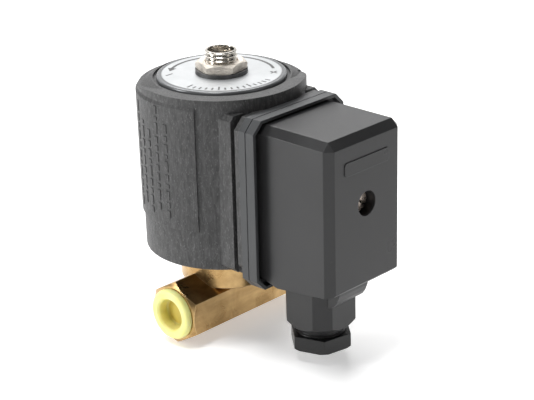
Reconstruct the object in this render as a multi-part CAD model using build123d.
from build123d import *
import os
from math import cos, pi, radians, sin

# Direct-acting solenoid valve on a hexagonal brass body, with a round moulded coil, a flow
# regulator in the hollow top stud and a large plug-on cable connector.
#
# Millimetres. X is the flow axis (inlet at low X), Z is up, and the connector faces -Y.
# The origin is on the port axis, where the inlet thread starts.

# ---- driving dimensions ----
PORT_LEAD = 3.5                # plain counterbore ahead of each port thread
PORT_THREAD_LENGTH = 10.0
PORT_THREAD_R = 7.475          # minor radius of a G3/8 thread
PORT_LEAD_R = 8.6
BODY_LENGTH = 60.0
BODY_ACROSS_FLATS = 22.0
BOSS_R = 18.2
BOSS_LOW_Z = 8.0
BOSS_TOP_Z = 20.6
AXIS_X = BODY_LENGTH / 2 - PORT_LEAD       # the valve axis, midway along the body
COIL_Z = 21.6                  # underside of the coil

COIL_BOTTOM_R = 31.2
COIL_TOP_R = 31.9
COIL_HEIGHT = 66.9
COIL_RIM_HEIGHT = 64.2         # the top falls away to this height at the outer edge
PANEL_STEP = 0.75              # how far the marked panel stands out of the coil
PANEL_LOW = 15.3
PANEL_HIGH = 64.4
PANEL_EDGE_ANGLE = 26.5        # the panel stops this far in front of the X axis, on both sides
CAVITY_R = 25.5
FLUX_PLATE = 3.0
DIAL_R = 24.6
DIAL_RECESS_R = 25.9
DIAL_TOP = 67.8
DIAL_THICKNESS = 1.9

TUBE_R = 7.0
TUBE_BORE_R = 6.05
PLUNGER_R = 6.0
STROKE = 2.0
SEAT_TOP_Z = 11.5
ORIFICE_R = 3.0
CORE_FACE_Z = 51.6

STUD_R = 6.0                   # M12 x 1.5
STUD_PITCH = 1.5
STUD_BORE_R = 5.0
STUD_TOP_Z = COIL_Z + 76.8
NUT_ACROSS_FLATS = 17.0
NUT_HEIGHT = 3.2
WASHER_R = 9.9
WASHER_THICKNESS = 1.6

FLANGE_HALF_WIDTH = 24.3       # connector base and frame
FLANGE_LOW = -3.4              # heights of the connector are counted from the coil's underside
FLANGE_HIGH = 62.4
FLANGE_CORNER = 4.2
BLOCK_HALF_WIDTH = 23.6        # the coil's own block behind the connector
BLOCK_CORNER = 1.8
BLOCK_FACE_Y = -32.1
BASE_FACE_Y = -35.2
FRAME_FACE_Y = -39.4
CAP_FACE_Y = -71.5
CAP_HALF_WIDTH = 20.0
CAP_LOW = 0.4                  # underside of the cap where it sits in the frame
CAP_HEEL_LOW = -1.1            # its lowest stretch, just ahead of the frame
CAP_FRONT_LOW = 2.0
CAP_HIGH = 60.4
CAP_WALL = 2.2
CAP_CHAMFER = 2.9
CAP_LOWER_CHAMFER = 0.7
SCREW_HEIGHT = 33.3

GLAND_Y = -48.6
COLLAR_HALF_WIDTH = 11.7
COLLAR_CORNER = 5.2
COLLAR_LOW = -21.0
NECK_R = 9.35
GLAND_NUT_ACROSS_FLATS = 21.2
GLAND_NUT_HIGH = -23.4
GLAND_NUT_LOW = -29.1
CABLE_R = 3.5

RUNNING_GAP = 0.05             # radial clearance of screws and sliding pieces


# ---- shapes used by several pieces ----
def upright(radius, low_z, high_z, x=AXIS_X, y=0.0):
    """A cylinder along Z."""
    return Pos(x, y, (low_z + high_z) / 2) * Cylinder(radius, high_z - low_z)


def upright_tube(outer_r, inner_r, low_z, high_z, x=AXIS_X, y=0.0):
    return upright(outer_r, low_z, high_z, x, y) - upright(inner_r, low_z - 1, high_z + 1, x, y)


def along_y(radius, low_y, high_y, z, x=AXIS_X):
    """A cylinder along Y."""
    return Pos(x, (low_y + high_y) / 2, z) * Rot(90, 0, 0) * Cylinder(radius, high_y - low_y)


def block(low, high):
    """A box between two opposite corners."""
    middle = [(a + b) / 2 for a, b in zip(low, high)]
    size = [b - a for a, b in zip(low, high)]
    return Pos(*middle) * Box(*size)


def turned(outline, x=AXIS_X, y=0.0):
    """Spin a closed (radius, z) outline about a vertical axis."""
    face = Plane.XZ * make_face(Polyline(*outline, close=True))
    return Pos(x, y, 0) * revolve(face, Axis.Z, 360)


def turned_about_x(outline, low_x_is_mouth=True, shift=0.0):
    """Spin a closed (distance, radius) outline about the port axis.

    Distances count from the mouth towards the inside when low_x_is_mouth, else the other way.
    """
    sign = 1 if low_x_is_mouth else -1
    points = [(shift + sign * distance, radius) for distance, radius in outline]
    face = Plane.XZ * make_face(Polyline(*points, close=True))
    return revolve(face, Axis.X, 360)


def hexagon_prism(across_flats, low_z, high_z, turn, x=AXIS_X, y=0.0):
    face = RegularPolygon(across_flats / 2, 6, major_radius=False, rotation=turn)
    return Pos(x, y, low_z) * extrude(face, high_z - low_z)


def thread_outline(crest_r, depth, pitch, low_z, high_z):
    """Outer points of ring grooves that stand for a thread, from low_z up to high_z."""
    turns = int((high_z - low_z) / pitch)
    points = []
    for turn in range(turns):
        z = low_z + turn * pitch
        points.append((crest_r, z))
        points.append((crest_r, z + pitch * 0.2))
        points.append((crest_r - depth, z + pitch * 0.6))
    points.append((crest_r, low_z + turns * pitch))
    points.append((crest_r, high_z))
    return points


def flange_slab(half_width, low, high, corner, back_y, front_y):
    """A plate facing -Y with cut corners; heights count from the coil's underside."""
    low_z = COIL_Z + low
    high_z = COIL_Z + high
    inner = half_width - corner
    points = [
        (-inner, low_z), (inner, low_z), (half_width, low_z + corner),
        (half_width, high_z - corner), (inner, high_z), (-inner, high_z),
        (-half_width, high_z - corner), (-half_width, low_z + corner),
    ]
    plane = Plane(origin=(AXIS_X, back_y, 0), x_dir=(1, 0, 0), z_dir=(0, -1, 0))
    face = plane * make_face(Polyline(*points, close=True))
    return extrude(face, back_y - front_y, dir=(0, -1, 0))


def o_ring(major_r, minor_r, z, x=AXIS_X, y=0.0):
    return Pos(x, y, z) * Torus(major_r, minor_r)


# ---- brass body and its plugs ----
INLET_FACE_X = -PORT_LEAD
OUTLET_FACE_X = INLET_FACE_X + BODY_LENGTH
CHAMBER_FLOOR_Z = 9.0
CHAMBER_R = 10.0
COLLAR_SEAT_Z = 13.2
COLLAR_R = 12.0
PASSAGE_R = 5.0


def valve_body():
    corner_r = BODY_ACROSS_FLATS / 2 / cos(radians(30))
    end_r = BODY_ACROSS_FLATS / 2 - 0.3
    end_chamfer = 1.5
    hexagon = RegularPolygon(corner_r, 6, rotation=90)
    bar_plane = Plane(origin=(INLET_FACE_X, 0, 0), x_dir=(0, 1, 0), z_dir=(1, 0, 0))
    bar = extrude(bar_plane * hexagon, BODY_LENGTH)
    turned_ends = turned_about_x([
        (0, 0), (0, end_r), (end_chamfer, corner_r + 0.1),
        (BODY_LENGTH - end_chamfer, corner_r + 0.1), (BODY_LENGTH, end_r), (BODY_LENGTH, 0),
    ], shift=INLET_FACE_X)
    boss = turned([
        (0, BOSS_LOW_Z), (BOSS_R - 0.4, BOSS_LOW_Z), (BOSS_R, BOSS_LOW_Z + 0.4),
        (BOSS_R, BOSS_TOP_Z - 0.8), (BOSS_R - 0.8, BOSS_TOP_Z), (0, BOSS_TOP_Z),
    ])
    chamber = turned([
        (0, CHAMBER_FLOOR_Z), (CHAMBER_R, CHAMBER_FLOOR_Z), (CHAMBER_R, COLLAR_SEAT_Z),
        (COLLAR_R, COLLAR_SEAT_Z), (COLLAR_R, BOSS_TOP_Z + 1), (0, BOSS_TOP_Z + 1),
    ])
    nozzle = turned([
        (0, CHAMBER_FLOOR_Z - 0.5), (5.4, CHAMBER_FLOOR_Z - 0.5), (5.0, SEAT_TOP_Z - 0.8),
        (ORIFICE_R + 0.8, SEAT_TOP_Z), (0, SEAT_TOP_Z),
    ])
    body = (bar & turned_ends) + boss - chamber + nozzle
    body -= upright(ORIFICE_R, -0.5, SEAT_TOP_Z + 1)
    # Each port: lead-in counterbore, thread wall, then the passage towards the seat.
    inlet_drill_x = AXIS_X - 7.4
    body -= turned_about_x(port_outline(inlet_drill_x + 2.4), True, INLET_FACE_X)
    body -= turned_about_x(port_outline(OUTLET_FACE_X - AXIS_X), False, OUTLET_FACE_X)
    body -= upright(2.3, 0, CHAMBER_FLOOR_Z + 1, x=inlet_drill_x)
    return body


def port_outline(passage_end):
    """(distance from the mouth, radius) outline of a port and its passage."""
    mouth_chamfer = 0.8
    thread_end = PORT_LEAD + PORT_THREAD_LENGTH
    return [
        (-1, 0), (-1, PORT_LEAD_R + mouth_chamfer), (0, PORT_LEAD_R + mouth_chamfer),
        (mouth_chamfer, PORT_LEAD_R), (PORT_LEAD, PORT_LEAD_R), (PORT_LEAD, PORT_THREAD_R),
        (thread_end, PORT_THREAD_R), (thread_end, PASSAGE_R), (passage_end, PASSAGE_R),
        (passage_end, 0),
    ]


def port_plug(at_inlet):
    """Push-in shipping plug: a cup whose rounded flange covers the port's mouth."""
    flange_r = 9.95
    flange = 2.4
    gap = 0.05
    floor = 0.9
    bore_r = 6.05
    insert_r = PORT_LEAD_R - RUNNING_GAP
    insert_end = PORT_LEAD - 0.15
    outline = [
        (-gap, flange_r), (-gap, insert_r), (0.9, insert_r), (insert_end, insert_r - 0.3),
        (insert_end, 0), (insert_end - floor, 0), (insert_end - floor, bore_r - 0.6),
        (insert_end - floor - 0.6, bore_r - 0.1), (-gap - flange + 0.8, bore_r),
        (-gap - flange, bore_r + 0.8), (-gap - flange, flange_r - 1.2),
        (-gap - flange + 0.35, flange_r - 0.35), (-gap - flange + 1.2, flange_r),
    ]
    mouth_x = INLET_FACE_X if at_inlet else OUTLET_FACE_X
    return turned_about_x(outline, at_inlet, mouth_x)


# ---- armature tube, core, plunger and regulator ----
TUBE_TOP_Z = COIL_Z + DIAL_TOP - DIAL_THICKNESS - 0.8
REGULATOR_SEAT_Z = 88.7
REGULATOR_TIP_Z = 38.0
SPRING_POCKET_Z = 35.4
SPRING_POCKET_R = 3.4


def armature_tube():
    collar_low_z = 15.0
    return turned([
        (TUBE_BORE_R, collar_low_z), (COLLAR_R, collar_low_z), (COLLAR_R, BOSS_TOP_Z),
        (TUBE_R, BOSS_TOP_Z), (TUBE_R, TUBE_TOP_Z), (TUBE_BORE_R, TUBE_TOP_Z),
    ])


def tube_o_ring():
    section_r = 0.9
    return o_ring(COLLAR_R - section_r, section_r, COLLAR_SEAT_Z + section_r)


def fixed_core():
    screw_r = 2.5
    tip_chamfer = 0.25
    stud = [(TUBE_BORE_R, CORE_FACE_Z), (TUBE_BORE_R, TUBE_TOP_Z), (STUD_R, TUBE_TOP_Z)]
    stud += thread_outline(STUD_R, 0.62, STUD_PITCH, TUBE_TOP_Z + 0.5, STUD_TOP_Z - tip_chamfer)
    stud += [
        (STUD_R - tip_chamfer, STUD_TOP_Z), (STUD_BORE_R + 0.1, STUD_TOP_Z),
        (STUD_BORE_R, STUD_TOP_Z - 0.3), (STUD_BORE_R, REGULATOR_SEAT_Z),
        (screw_r, REGULATOR_SEAT_Z), (screw_r, CORE_FACE_Z),
    ]
    core = turned(stud)
    return core - upright_tube(5.5, 4.5, CORE_FACE_Z - 1, CORE_FACE_Z + 1.0)


def shading_ring():
    return upright_tube(5.5, 4.5, CORE_FACE_Z, CORE_FACE_Z + 1.0)


def plunger():
    low_z = SEAT_TOP_Z + 0.8
    high_z = CORE_FACE_Z - STROKE - 0.05
    body = turned([
        (0, low_z), (PLUNGER_R - 0.6, low_z), (PLUNGER_R, low_z + 0.6),
        (PLUNGER_R, high_z - 0.4), (PLUNGER_R - 0.4, high_z), (0, high_z),
    ])
    pocket = upright(SPRING_POCKET_R, SPRING_POCKET_Z, high_z + 1)
    body -= pocket + plunger_seal()
    flat_depth = 0.6
    for side in (-1, 1):
        flat_y = side * (PLUNGER_R - flat_depth / 2)
        body -= Pos(AXIS_X, flat_y, high_z) * Box(3, flat_depth, 2 * (high_z - low_z) - 8)
    return body


def plunger_seal():
    return upright(4.6, SEAT_TOP_Z, SEAT_TOP_Z + 2.8)


def plunger_spring():
    wire_r = 0.35
    coil_r = 2.75
    low_z = SPRING_POCKET_Z + wire_r
    height = CORE_FACE_Z - SPRING_POCKET_Z - 2 * wire_r - 0.05
    path = Helix(pitch=2.1, height=height, radius=coil_r)
    section = Plane(origin=path @ 0, z_dir=path % 0) * Circle(wire_r)
    return Pos(AXIS_X, 0, low_z) * sweep(section, path, is_frenet=True)


def regulator_screw():
    shank_r = 2.5 - RUNNING_GAP
    head_low_z = REGULATOR_SEAT_Z + 0.4
    head_r = 4.5
    head_high_z = head_low_z + 7.2
    neck_r = 3.1
    body = turned([
        (0, REGULATOR_TIP_Z), (1.1, REGULATOR_TIP_Z), (1.5, REGULATOR_TIP_Z + 0.8),
        (1.5, CORE_FACE_Z + 4), (shank_r, CORE_FACE_Z + 5), (shank_r, head_low_z),
        (head_r, head_low_z), (head_r, head_low_z + 1.4), (neck_r, head_low_z + 1.4),
        (neck_r, head_low_z + 3.2), (head_r, head_low_z + 3.2), (head_r, head_high_z - 0.5),
        (head_r - 0.5, head_high_z), (0, head_high_z),
    ])
    slot_turn = 44
    return body - Pos(AXIS_X, 0, head_high_z) * Rot(0, 0, slot_turn) * Box(12, 1.4, 2.4)


def regulator_o_ring():
    return o_ring(3.95, 0.8, REGULATOR_SEAT_Z + 0.4 + 2.3)


# ---- coil ----
def panel_sector(outer):
    """The raised panel wraps the coil except for the stretch in front of the X axis."""
    edge = radians(PANEL_EDGE_ANGLE)
    reach = 60.0
    wedge = make_face(Polyline(
        (0, 0), (reach * cos(edge), -reach * sin(edge)), (reach, -2 * reach),
        (-reach, -2 * reach), (-reach * cos(edge), -reach * sin(edge)), close=True))
    keep_out = Pos(AXIS_X, 0, COIL_Z) * extrude(wedge, COIL_HEIGHT)
    return outer - keep_out


def radius_at(height):
    """Radius of the slightly tapered coil at a height above its underside."""
    return COIL_BOTTOM_R + (COIL_TOP_R - COIL_BOTTOM_R) * height / COIL_HEIGHT


def coil_outer():
    """Tapered drum whose top slopes down to the rim, except under the front brow."""
    edge = 0.9
    rounding = 1.6
    ring_r = DIAL_RECESS_R + 0.6
    points = [(0, COIL_Z), (COIL_BOTTOM_R - edge, COIL_Z)]
    for step in range(1, 4):
        angle = radians(30 * step)
        points.append((COIL_BOTTOM_R - edge + edge * sin(angle), COIL_Z + edge - edge * cos(angle)))
    for step in range(4):
        angle = radians(22.0 * step)
        points.append((COIL_TOP_R - rounding + rounding * cos(angle),
                       COIL_Z + COIL_RIM_HEIGHT - rounding * (1 - sin(angle))))
    points += [(ring_r, COIL_Z + COIL_HEIGHT), (0, COIL_Z + COIL_HEIGHT)]
    panel = turned([
        (20, COIL_Z + PANEL_LOW), (radius_at(PANEL_LOW) + PANEL_STEP, COIL_Z + PANEL_LOW),
        (radius_at(PANEL_HIGH - 1.5) + PANEL_STEP, COIL_Z + PANEL_HIGH - 1.5),
        (radius_at(PANEL_HIGH - 1.5) - 0.2, COIL_Z + PANEL_HIGH), (20, COIL_Z + PANEL_HIGH),
    ])
    return turned(points) + coil_brow() + panel_sector(panel)


def coil_brow():
    """Over the front the rim stays level and sharp; a tilted plane fades it into the sides."""
    facing = 235
    start = 12.0
    fall = 10.2
    top_z = COIL_Z + COIL_HEIGHT
    brow = upright(COIL_TOP_R, top_z - 6, top_z)
    above = Pos(0, 0, 40) * Box(160, 160, 80)
    place = Pos(AXIS_X + start * cos(radians(facing)), start * sin(radians(facing)), top_z)
    return brow - place * Rot(0, 0, facing) * Rot(0, -fall, 0) * above


def connector_block():
    """The block moulded on the coil, with a groove round its sides and top."""
    groove_back_y = -27.4
    groove_front_y = -29.3
    groove_depth = 2.2
    low = 0.8
    high = FLANGE_HIGH - 0.5
    solid = flange_slab(BLOCK_HALF_WIDTH, low, high, BLOCK_CORNER, -16, groove_front_y)
    solid += flange_slab(BLOCK_HALF_WIDTH, low, high, FLANGE_CORNER, groove_front_y, BLOCK_FACE_Y)
    outer = flange_slab(BLOCK_HALF_WIDTH + 3, low - 3, high + 3, FLANGE_CORNER,
                        groove_back_y, groove_front_y)
    inner = flange_slab(BLOCK_HALF_WIDTH - groove_depth, low - 4, high - groove_depth,
                        FLANGE_CORNER, groove_back_y + 1, groove_front_y - 1)
    return solid - (outer - inner)


def coil_housing():
    cavity_low_z = COIL_Z + 1.5
    cavity_high_z = TUBE_TOP_Z
    recess_z = COIL_Z + DIAL_TOP - DIAL_THICKNESS
    housing = coil_outer() + connector_block()
    housing -= upright(CAVITY_R, cavity_low_z, cavity_high_z)
    housing -= upright(TUBE_R + 0.1, COIL_Z - 1, recess_z + 1)
    housing -= upright(DIAL_RECESS_R, recess_z, COIL_Z + COIL_HEIGHT + 1)
    housing -= along_y(INSERT_R, BLOCK_FACE_Y - 1, INSERT_BACK_Y, COIL_Z + SCREW_HEIGHT)
    return housing - line_blades() - earth_blade()


def dial_plate():
    """Metal disc on top of the coil that carries the regulator's scale."""
    low_z = COIL_Z + DIAL_TOP - DIAL_THICKNESS
    high_z = COIL_Z + DIAL_TOP
    edge = 0.9
    points = [(STUD_R + 0.3, low_z), (DIAL_R, low_z)]
    for step in range(5):
        angle = radians(22.5 * step)
        points.append((DIAL_R - edge + edge * cos(angle), high_z - edge + edge * sin(angle)))
    points.append((STUD_R + 0.3, high_z))
    return turned(points)


def flux_plate(low_z):
    return upright_tube(CAVITY_R, TUBE_R + 0.1, low_z, low_z + FLUX_PLATE)


BOTTOM_PLATE_Z = COIL_Z + 1.5
TOP_PLATE_Z = TUBE_TOP_Z - FLUX_PLATE
SPOOL_LOW_Z = BOTTOM_PLATE_Z + FLUX_PLATE
SPOOL_WALL = 1.2
SPOOL_FLANGE_R = 22.4


def yoke_sleeve():
    return upright_tube(CAVITY_R, SPOOL_FLANGE_R + 0.1, SPOOL_LOW_Z, TOP_PLATE_Z)


def bobbin():
    bore_r = TUBE_R + 0.1
    hub_r = bore_r + SPOOL_WALL
    return turned([
        (bore_r, SPOOL_LOW_Z), (SPOOL_FLANGE_R, SPOOL_LOW_Z),
        (SPOOL_FLANGE_R, SPOOL_LOW_Z + SPOOL_WALL), (hub_r, SPOOL_LOW_Z + SPOOL_WALL),
        (hub_r, TOP_PLATE_Z - SPOOL_WALL), (SPOOL_FLANGE_R, TOP_PLATE_Z - SPOOL_WALL),
        (SPOOL_FLANGE_R, TOP_PLATE_Z), (bore_r, TOP_PLATE_Z),
    ])


def winding():
    hub_r = TUBE_R + 0.1 + SPOOL_WALL
    return upright_tube(20.5, hub_r, SPOOL_LOW_Z + SPOOL_WALL, TOP_PLATE_Z - SPOOL_WALL)


def base_gasket():
    return upright_tube(16.5, 12.5, BOSS_TOP_Z, COIL_Z)


def coil_washer():
    low_z = COIL_Z + DIAL_TOP
    return upright_tube(WASHER_R, STUD_R + 0.3, low_z, low_z + WASHER_THICKNESS)


def coil_nut():
    low_z = COIL_Z + DIAL_TOP + WASHER_THICKNESS
    corner_r = NUT_ACROSS_FLATS / 2 / cos(radians(30))
    rim = turned([
        (0, low_z), (corner_r - 0.5, low_z), (corner_r, low_z + 0.4),
        (corner_r, low_z + NUT_HEIGHT - 1.0), (corner_r - 1.6, low_z + NUT_HEIGHT),
        (0, low_z + NUT_HEIGHT),
    ])
    nut = hexagon_prism(NUT_ACROSS_FLATS, low_z, low_z + NUT_HEIGHT, 10) & rim
    return nut - turned([
        (0, low_z - 1), (STUD_R + RUNNING_GAP, low_z - 1),
        (STUD_R + RUNNING_GAP, low_z + NUT_HEIGHT - 0.4),
        (STUD_R + 0.5, low_z + NUT_HEIGHT + 0.1), (0, low_z + NUT_HEIGHT + 0.1),
    ])


# ---- connector ----
INSERT_R = 3.2
INSERT_BACK_Y = -26.4
BLADE_BACK_Y = -26.6
BLADE_TIP_Y = -50.0
BLADE_WIDTH = 6.3
BLADE_THICKNESS = 0.8
LINE_BLADE_X = 9.0
EARTH_BLADE_DROP = 11.0
CLAMP_LENGTH = 10.0
CLAMP_BACK_Y = -46.0
CARRIER_BACK_Y = -40.0
CARRIER_FACE_Y = CLAMP_BACK_Y - CLAMP_LENGTH
SCREW_R = 1.6


def terminal_places():
    """(x, z, blade stands upright) of the two line terminals and the earth terminal."""
    z = COIL_Z + SCREW_HEIGHT
    return [
        (AXIS_X - LINE_BLADE_X, z, True),
        (AXIS_X + LINE_BLADE_X, z, True),
        (AXIS_X, z - EARTH_BLADE_DROP, False),
    ]


def bar_along_y(place, width, thickness, back_y, front_y):
    """A flat bar along Y at a terminal, turned the way that terminal's blade stands."""
    x, z, stands_upright = place
    half_x = thickness / 2 if stands_upright else width / 2
    half_z = width / 2 if stands_upright else thickness / 2
    return block((x - half_x, front_y, z - half_z), (x + half_x, back_y, z + half_z))


def blade(place):
    body = bar_along_y(place, BLADE_WIDTH, BLADE_THICKNESS, BLADE_BACK_Y, BLADE_TIP_Y)
    return chamfer(body.edges().group_by(Axis.Y)[0].group_by(SortBy.LENGTH)[0], 0.3)


def line_blades():
    return Compound(children=[blade(place) for place in terminal_places()[:2]])


def earth_blade():
    return blade(terminal_places()[2])


def screw_insert():
    z = COIL_Z + SCREW_HEIGHT
    outer = along_y(INSERT_R, BLOCK_FACE_Y, INSERT_BACK_Y, z)
    return outer - along_y(SCREW_R + RUNNING_GAP, BLOCK_FACE_Y - 1, INSERT_BACK_Y - 1.2, z)


def connector_base():
    plate = flange_slab(FLANGE_HALF_WIDTH, FLANGE_LOW, FLANGE_HIGH, FLANGE_CORNER,
                        BLOCK_FACE_Y, BASE_FACE_Y)
    window_half_width, window_low, window_high, window_corner = 14, 16, 50, 2
    window = flange_slab(window_half_width, window_low, window_high, window_corner,
                         BLOCK_FACE_Y + 1, BASE_FACE_Y - 1)
    return plate - window - connector_gasket()


def connector_gasket():
    thickness = 1.2
    band = 2.2
    half_width, low, high, corner = 21.5, -0.6, 59.6, 3.0
    back_y = BASE_FACE_Y + thickness
    outer = flange_slab(half_width, low, high, corner, back_y, BASE_FACE_Y)
    return outer - flange_slab(half_width - band, low + band, high - band, corner - 1,
                               back_y + 1, BASE_FACE_Y - 1)


def connector_frame():
    """Bezel round the cap: a thin outer wall, a recessed channel and a back lip."""
    rim = 1.2
    parting = 0.35
    channel_y = FRAME_FACE_Y + 2.8
    lip_y = BASE_FACE_Y - 1.0
    frame = flange_slab(FLANGE_HALF_WIDTH, FLANGE_LOW, FLANGE_HIGH, FLANGE_CORNER,
                        BASE_FACE_Y - parting, FRAME_FACE_Y)
    frame += flange_slab(FLANGE_HALF_WIDTH - parting, FLANGE_LOW + parting, FLANGE_HIGH - parting,
                         FLANGE_CORNER, BASE_FACE_Y, BASE_FACE_Y - parting)
    frame -= flange_slab(FLANGE_HALF_WIDTH - rim, FLANGE_LOW + rim, FLANGE_HIGH - rim,
                         FLANGE_CORNER - 0.5, channel_y, FRAME_FACE_Y - 1)
    opening = flange_slab(CAP_HALF_WIDTH, CAP_LOW, CAP_HIGH, CAP_CHAMFER, lip_y, FRAME_FACE_Y - 1)
    square_corners = block(
        (AXIS_X - CAP_HALF_WIDTH, FRAME_FACE_Y - 1, COIL_Z + CAP_LOW),
        (AXIS_X + CAP_HALF_WIDTH, lip_y, COIL_Z + CAP_LOW + 2 * CAP_CHAMFER))
    frame -= opening + square_corners
    # The cap's spout passes through a notch in the lower rim.
    frame -= block((AXIS_X - COLLAR_HALF_WIDTH, FRAME_FACE_Y - 1, COIL_Z + FLANGE_LOW - 1),
                   (AXIS_X + COLLAR_HALF_WIDTH, GLAND_Y + COLLAR_HALF_WIDTH, COIL_Z + CAP_LOW))
    window_half_width = 17.0
    window_corner = 1.5
    return frame - flange_slab(window_half_width, CAP_LOW + 5, CAP_HIGH - 3, window_corner,
                               BASE_FACE_Y + 1, lip_y - 1)


def cap_shell():
    """The cap's outer solid and the hollow inside it."""
    back_y = BASE_FACE_Y - 1.0
    heel_y = -45.5
    right_cut = 3.8
    inner_chamfer = 1.9
    cut_reach = 40
    side_x = AXIS_X - CAP_HALF_WIDTH
    side = Plane(origin=(side_x, 0, 0), x_dir=(0, 1, 0), z_dir=(1, 0, 0))
    outline = make_face(Polyline(
        (back_y, COIL_Z + CAP_LOW), (FRAME_FACE_Y - 0.4, COIL_Z + CAP_LOW),
        (heel_y, COIL_Z + CAP_HEEL_LOW), (CAP_FACE_Y, COIL_Z + CAP_FRONT_LOW),
        (CAP_FACE_Y, COIL_Z + CAP_HIGH), (back_y, COIL_Z + CAP_HIGH), close=True))
    solid = extrude(side * outline, 2 * CAP_HALF_WIDTH)
    front_edges = solid.edges().group_by(Axis.Y)[0].sort_by(Axis.Z)
    upper_edges = solid.edges().filter_by(Axis.Y).group_by(Axis.Z)[-1]
    solid = chamfer(front_edges[1:] + upper_edges, CAP_CHAMFER)
    solid = chamfer(solid.edges().group_by(Axis.Y)[0].sort_by(Axis.Z)[0], CAP_LOWER_CHAMFER)
    corner = Pos(AXIS_X + CAP_HALF_WIDTH, FRAME_FACE_Y - 0.4, COIL_Z + CAP_FRONT_LOW) * Rot(0, 135, 0)
    solid -= corner * Pos(0, -cut_reach, cut_reach - right_cut / 2 ** 0.5) * Box(
        2 * cut_reach, 2 * cut_reach, 2 * cut_reach)
    low_z = COIL_Z + CAP_FRONT_LOW + CAP_WALL
    hollow = block((side_x + CAP_WALL, CAP_FACE_Y + CAP_WALL, low_z),
                   (AXIS_X + CAP_HALF_WIDTH - CAP_WALL, back_y + 1, COIL_Z + CAP_HIGH - CAP_WALL))
    inner_edges = hollow.edges().group_by(Axis.Y)[0] + hollow.edges().filter_by(Axis.Y)
    return solid, chamfer(inner_edges, inner_chamfer)


def cable_collar():
    """Chamfered square spout under the cap, with a rounded web towards the front."""
    top_z = COIL_Z + CAP_FRONT_LOW + 0.5
    low_z = COIL_Z + COLLAR_LOW
    taper = 3.0
    h = COLLAR_HALF_WIDTH
    c = h - COLLAR_CORNER
    outline = make_face(Polyline((-h, -c), (-c, -h), (c, -h), (h, -c), (h, c), (c, h), (-c, h),
                                 (-h, c), close=True))
    prism = Pos(AXIS_X, GLAND_Y, low_z) * extrude(outline, top_z - low_z)
    rim_r = 13.5
    rounding = turned([
        (0, low_z), (rim_r - 2.9, low_z), (rim_r, low_z + taper), (rim_r, top_z), (0, top_z),
    ], y=GLAND_Y)
    web_half_width = 8.0
    web_reach = 6.4
    web_drop = 11.6
    web_plane = Plane(origin=(AXIS_X - web_half_width, 0, 0), x_dir=(0, 1, 0), z_dir=(1, 0, 0))
    web_back_y = GLAND_Y - h + 1
    arc = [(web_back_y, top_z)]
    for step in range(7):
        angle = radians(15 * step)
        arc.append((web_back_y - web_reach * cos(angle), top_z - web_drop * sin(angle)))
    web = extrude(web_plane * make_face(Polyline(*arc, close=True)), 2 * web_half_width)
    return (prism & rounding) + web


def connector_cap():
    solid, hollow = cap_shell()
    screw_z = COIL_Z + SCREW_HEIGHT
    neck_low_z = COIL_Z + NECK_LOW
    collar_z = COIL_Z + COLLAR_LOW
    neck = thread_outline(NECK_R, 0.7, 1.5, neck_low_z + 0.6, collar_z)
    neck = turned([(0, neck_low_z), (NECK_R - 0.6, neck_low_z)] + neck + [(0, collar_z)], y=GLAND_Y)
    cap = solid + cable_collar() + neck - hollow
    screw_post_r = 6.2
    cable_bore_r = 5.2
    cap += along_y(screw_post_r, CAP_FACE_Y + 1, CARRIER_FACE_Y - 1.0, screw_z)
    cap -= along_y(RECESS_R, CAP_FACE_Y - 1, RECESS_FLOOR_Y, screw_z)
    cap -= along_y(SCREW_R + 0.3, CAP_FACE_Y - 1, CARRIER_FACE_Y, screw_z)
    cap -= upright(cable_bore_r, collar_z, COIL_Z + CAP_FRONT_LOW + CAP_WALL + 0.5, y=GLAND_Y)
    return cap - upright(SEAL_R, neck_low_z - 1, COIL_Z + SEAL_HIGH, y=GLAND_Y)


RECESS_R = 4.7
RECESS_FLOOR_Y = -64.2
NECK_LOW = -27.0
SEAL_R = 7.0
SEAL_HIGH = -15.0


def terminal_carrier():
    """Block inside the cap that holds the clamps in line with the blades."""
    low_z = COIL_Z + 16.0
    high_z = COIL_Z + 51.0
    reach = CAP_HALF_WIDTH - CAP_WALL
    carrier = block((AXIS_X - reach, CARRIER_FACE_Y, low_z), (AXIS_X + reach, CARRIER_BACK_Y, high_z))
    carrier -= along_y(SCREW_R + 0.4, CARRIER_FACE_Y - 1, CARRIER_BACK_Y + 1, COIL_Z + SCREW_HEIGHT)
    for place in terminal_places():
        carrier -= clamp_envelope(place)
        carrier -= bar_along_y(place, BLADE_WIDTH + 0.6, BLADE_THICKNESS + 0.6,
                               CARRIER_BACK_Y + 1, CLAMP_BACK_Y)
    return carrier


def clamp_envelope(place):
    return bar_along_y(place, BLADE_WIDTH + 2.0, 5.0, CLAMP_BACK_Y, CARRIER_FACE_Y)


def terminal_clamps():
    clamps = []
    for place in terminal_places():
        x, z, _ = place
        socket = bar_along_y(place, BLADE_WIDTH + 0.3, BLADE_THICKNESS + 0.2,
                             CLAMP_BACK_Y + 1, BLADE_TIP_Y - 0.5)
        clamp = clamp_envelope(place) - socket
        clamps.append(clamp - along_y(CLAMP_SCREW_R, CARRIER_FACE_Y - 1, CLAMP_SCREW_END_Y, z, x))
    return Compound(children=clamps)


CLAMP_SCREW_R = 1.5
CLAMP_SCREW_END_Y = -51.5


def clamp_screws():
    head_r = 2.4
    head = 1.6
    screws = []
    for x, z, _ in terminal_places():
        screw = along_y(CLAMP_SCREW_R, CARRIER_FACE_Y, CLAMP_SCREW_END_Y, z, x)
        screw += along_y(head_r, CARRIER_FACE_Y - head, CARRIER_FACE_Y, z, x)
        screw -= Pos(x, CARRIER_FACE_Y - head, z) * Box(0.7, 1.4, 6)
        screws.append(screw)
    return Compound(children=screws)


O_RING_SECTION_R = 0.6


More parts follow.
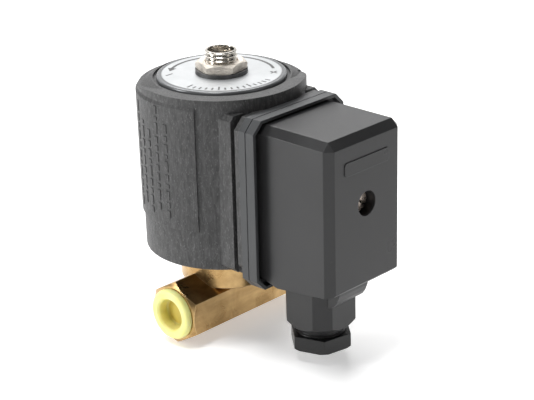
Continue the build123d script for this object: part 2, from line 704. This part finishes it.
def cap_screw():
    """Long slotted screw that holds the connector on the coil."""
    z = COIL_Z + SCREW_HEIGHT
    seat_y = RECESS_FLOOR_Y - 2 * O_RING_SECTION_R
    head = 2.6
    shank = along_y(SCREW_R, seat_y, BLOCK_FACE_Y + 4.2, z)
    top = chamfer(along_y(4.2, seat_y - head, seat_y, z).edges().group_by(Axis.Y)[0], 0.4)
    slot = Pos(AXIS_X, seat_y - head, z) * Rot(0, 35, 0) * Box(9, 2.4, 1.0)
    return shank + top - slot


def cap_screw_o_ring():
    centre_y = RECESS_FLOOR_Y - O_RING_SECTION_R
    ring = Torus(SCREW_R + RUNNING_GAP + O_RING_SECTION_R + 0.5, O_RING_SECTION_R)
    return Pos(AXIS_X, centre_y, COIL_Z + SCREW_HEIGHT) * Rot(90, 0, 0) * ring


# ---- cable gland ----
GLAND_FLOOR = 1.3


def gland_seal():
    low_z = COIL_Z + NECK_LOW - 0.1
    return upright_tube(SEAL_R, CABLE_R, low_z, COIL_Z + SEAL_HIGH, y=GLAND_Y)


def gland_washer():
    high_z = COIL_Z + NECK_LOW - 0.1
    return upright_tube(NECK_R - 0.4, CABLE_R + 0.7, COIL_Z + GLAND_NUT_LOW + GLAND_FLOOR, high_z,
                        y=GLAND_Y)


def gland_nut():
    low_z = COIL_Z + GLAND_NUT_LOW
    high_z = COIL_Z + GLAND_NUT_HIGH
    corner_r = GLAND_NUT_ACROSS_FLATS / 2 / cos(radians(30))
    rim = turned([
        (0, low_z), (corner_r - 0.8, low_z), (corner_r, low_z + 0.6),
        (corner_r, high_z - 0.2), (corner_r - 0.2, high_z), (0, high_z),
    ], y=GLAND_Y)
    nut = hexagon_prism(GLAND_NUT_ACROSS_FLATS, low_z, high_z, 168.6, y=GLAND_Y) & rim
    nut -= upright(NECK_R + RUNNING_GAP, low_z + GLAND_FLOOR, high_z + 1, y=GLAND_Y)
    return nut - upright(CABLE_R + 1.8, low_z - 1, low_z + 2, y=GLAND_Y)


PIECES = {
    "valve_body": valve_body,
    "inlet_plug": lambda: port_plug(True),
    "outlet_plug": lambda: port_plug(False),
    "armature_tube": armature_tube,
    "tube_o_ring": tube_o_ring,
    "fixed_core": fixed_core,
    "shading_ring": shading_ring,
    "plunger": plunger,
    "plunger_seal": plunger_seal,
    "plunger_spring": plunger_spring,
    "regulator_screw": regulator_screw,
    "regulator_o_ring": regulator_o_ring,
    "base_gasket": base_gasket,
    "coil_housing": coil_housing,
    "dial_plate": dial_plate,
    "bottom_flux_plate": lambda: flux_plate(BOTTOM_PLATE_Z),
    "top_flux_plate": lambda: flux_plate(TOP_PLATE_Z),
    "yoke_sleeve": yoke_sleeve,
    "bobbin": bobbin,
    "winding": winding,
    "coil_washer": coil_washer,
    "coil_nut": coil_nut,
    "line_blades": line_blades,
    "earth_blade": earth_blade,
    "screw_insert": screw_insert,
    "connector_base": connector_base,
    "connector_gasket": connector_gasket,
    "connector_frame": connector_frame,
    "connector_cap": connector_cap,
    "terminal_carrier": terminal_carrier,
    "terminal_clamps": terminal_clamps,
    "clamp_screws": clamp_screws,
    "cap_screw": cap_screw,
    "cap_screw_o_ring": cap_screw_o_ring,
    "gland_seal": gland_seal,
    "gland_washer": gland_washer,
    "gland_nut": gland_nut,
}

os.makedirs("parts", exist_ok=True)
for node, make in PIECES.items():
    export_step(make(), f"parts/{node}.step")
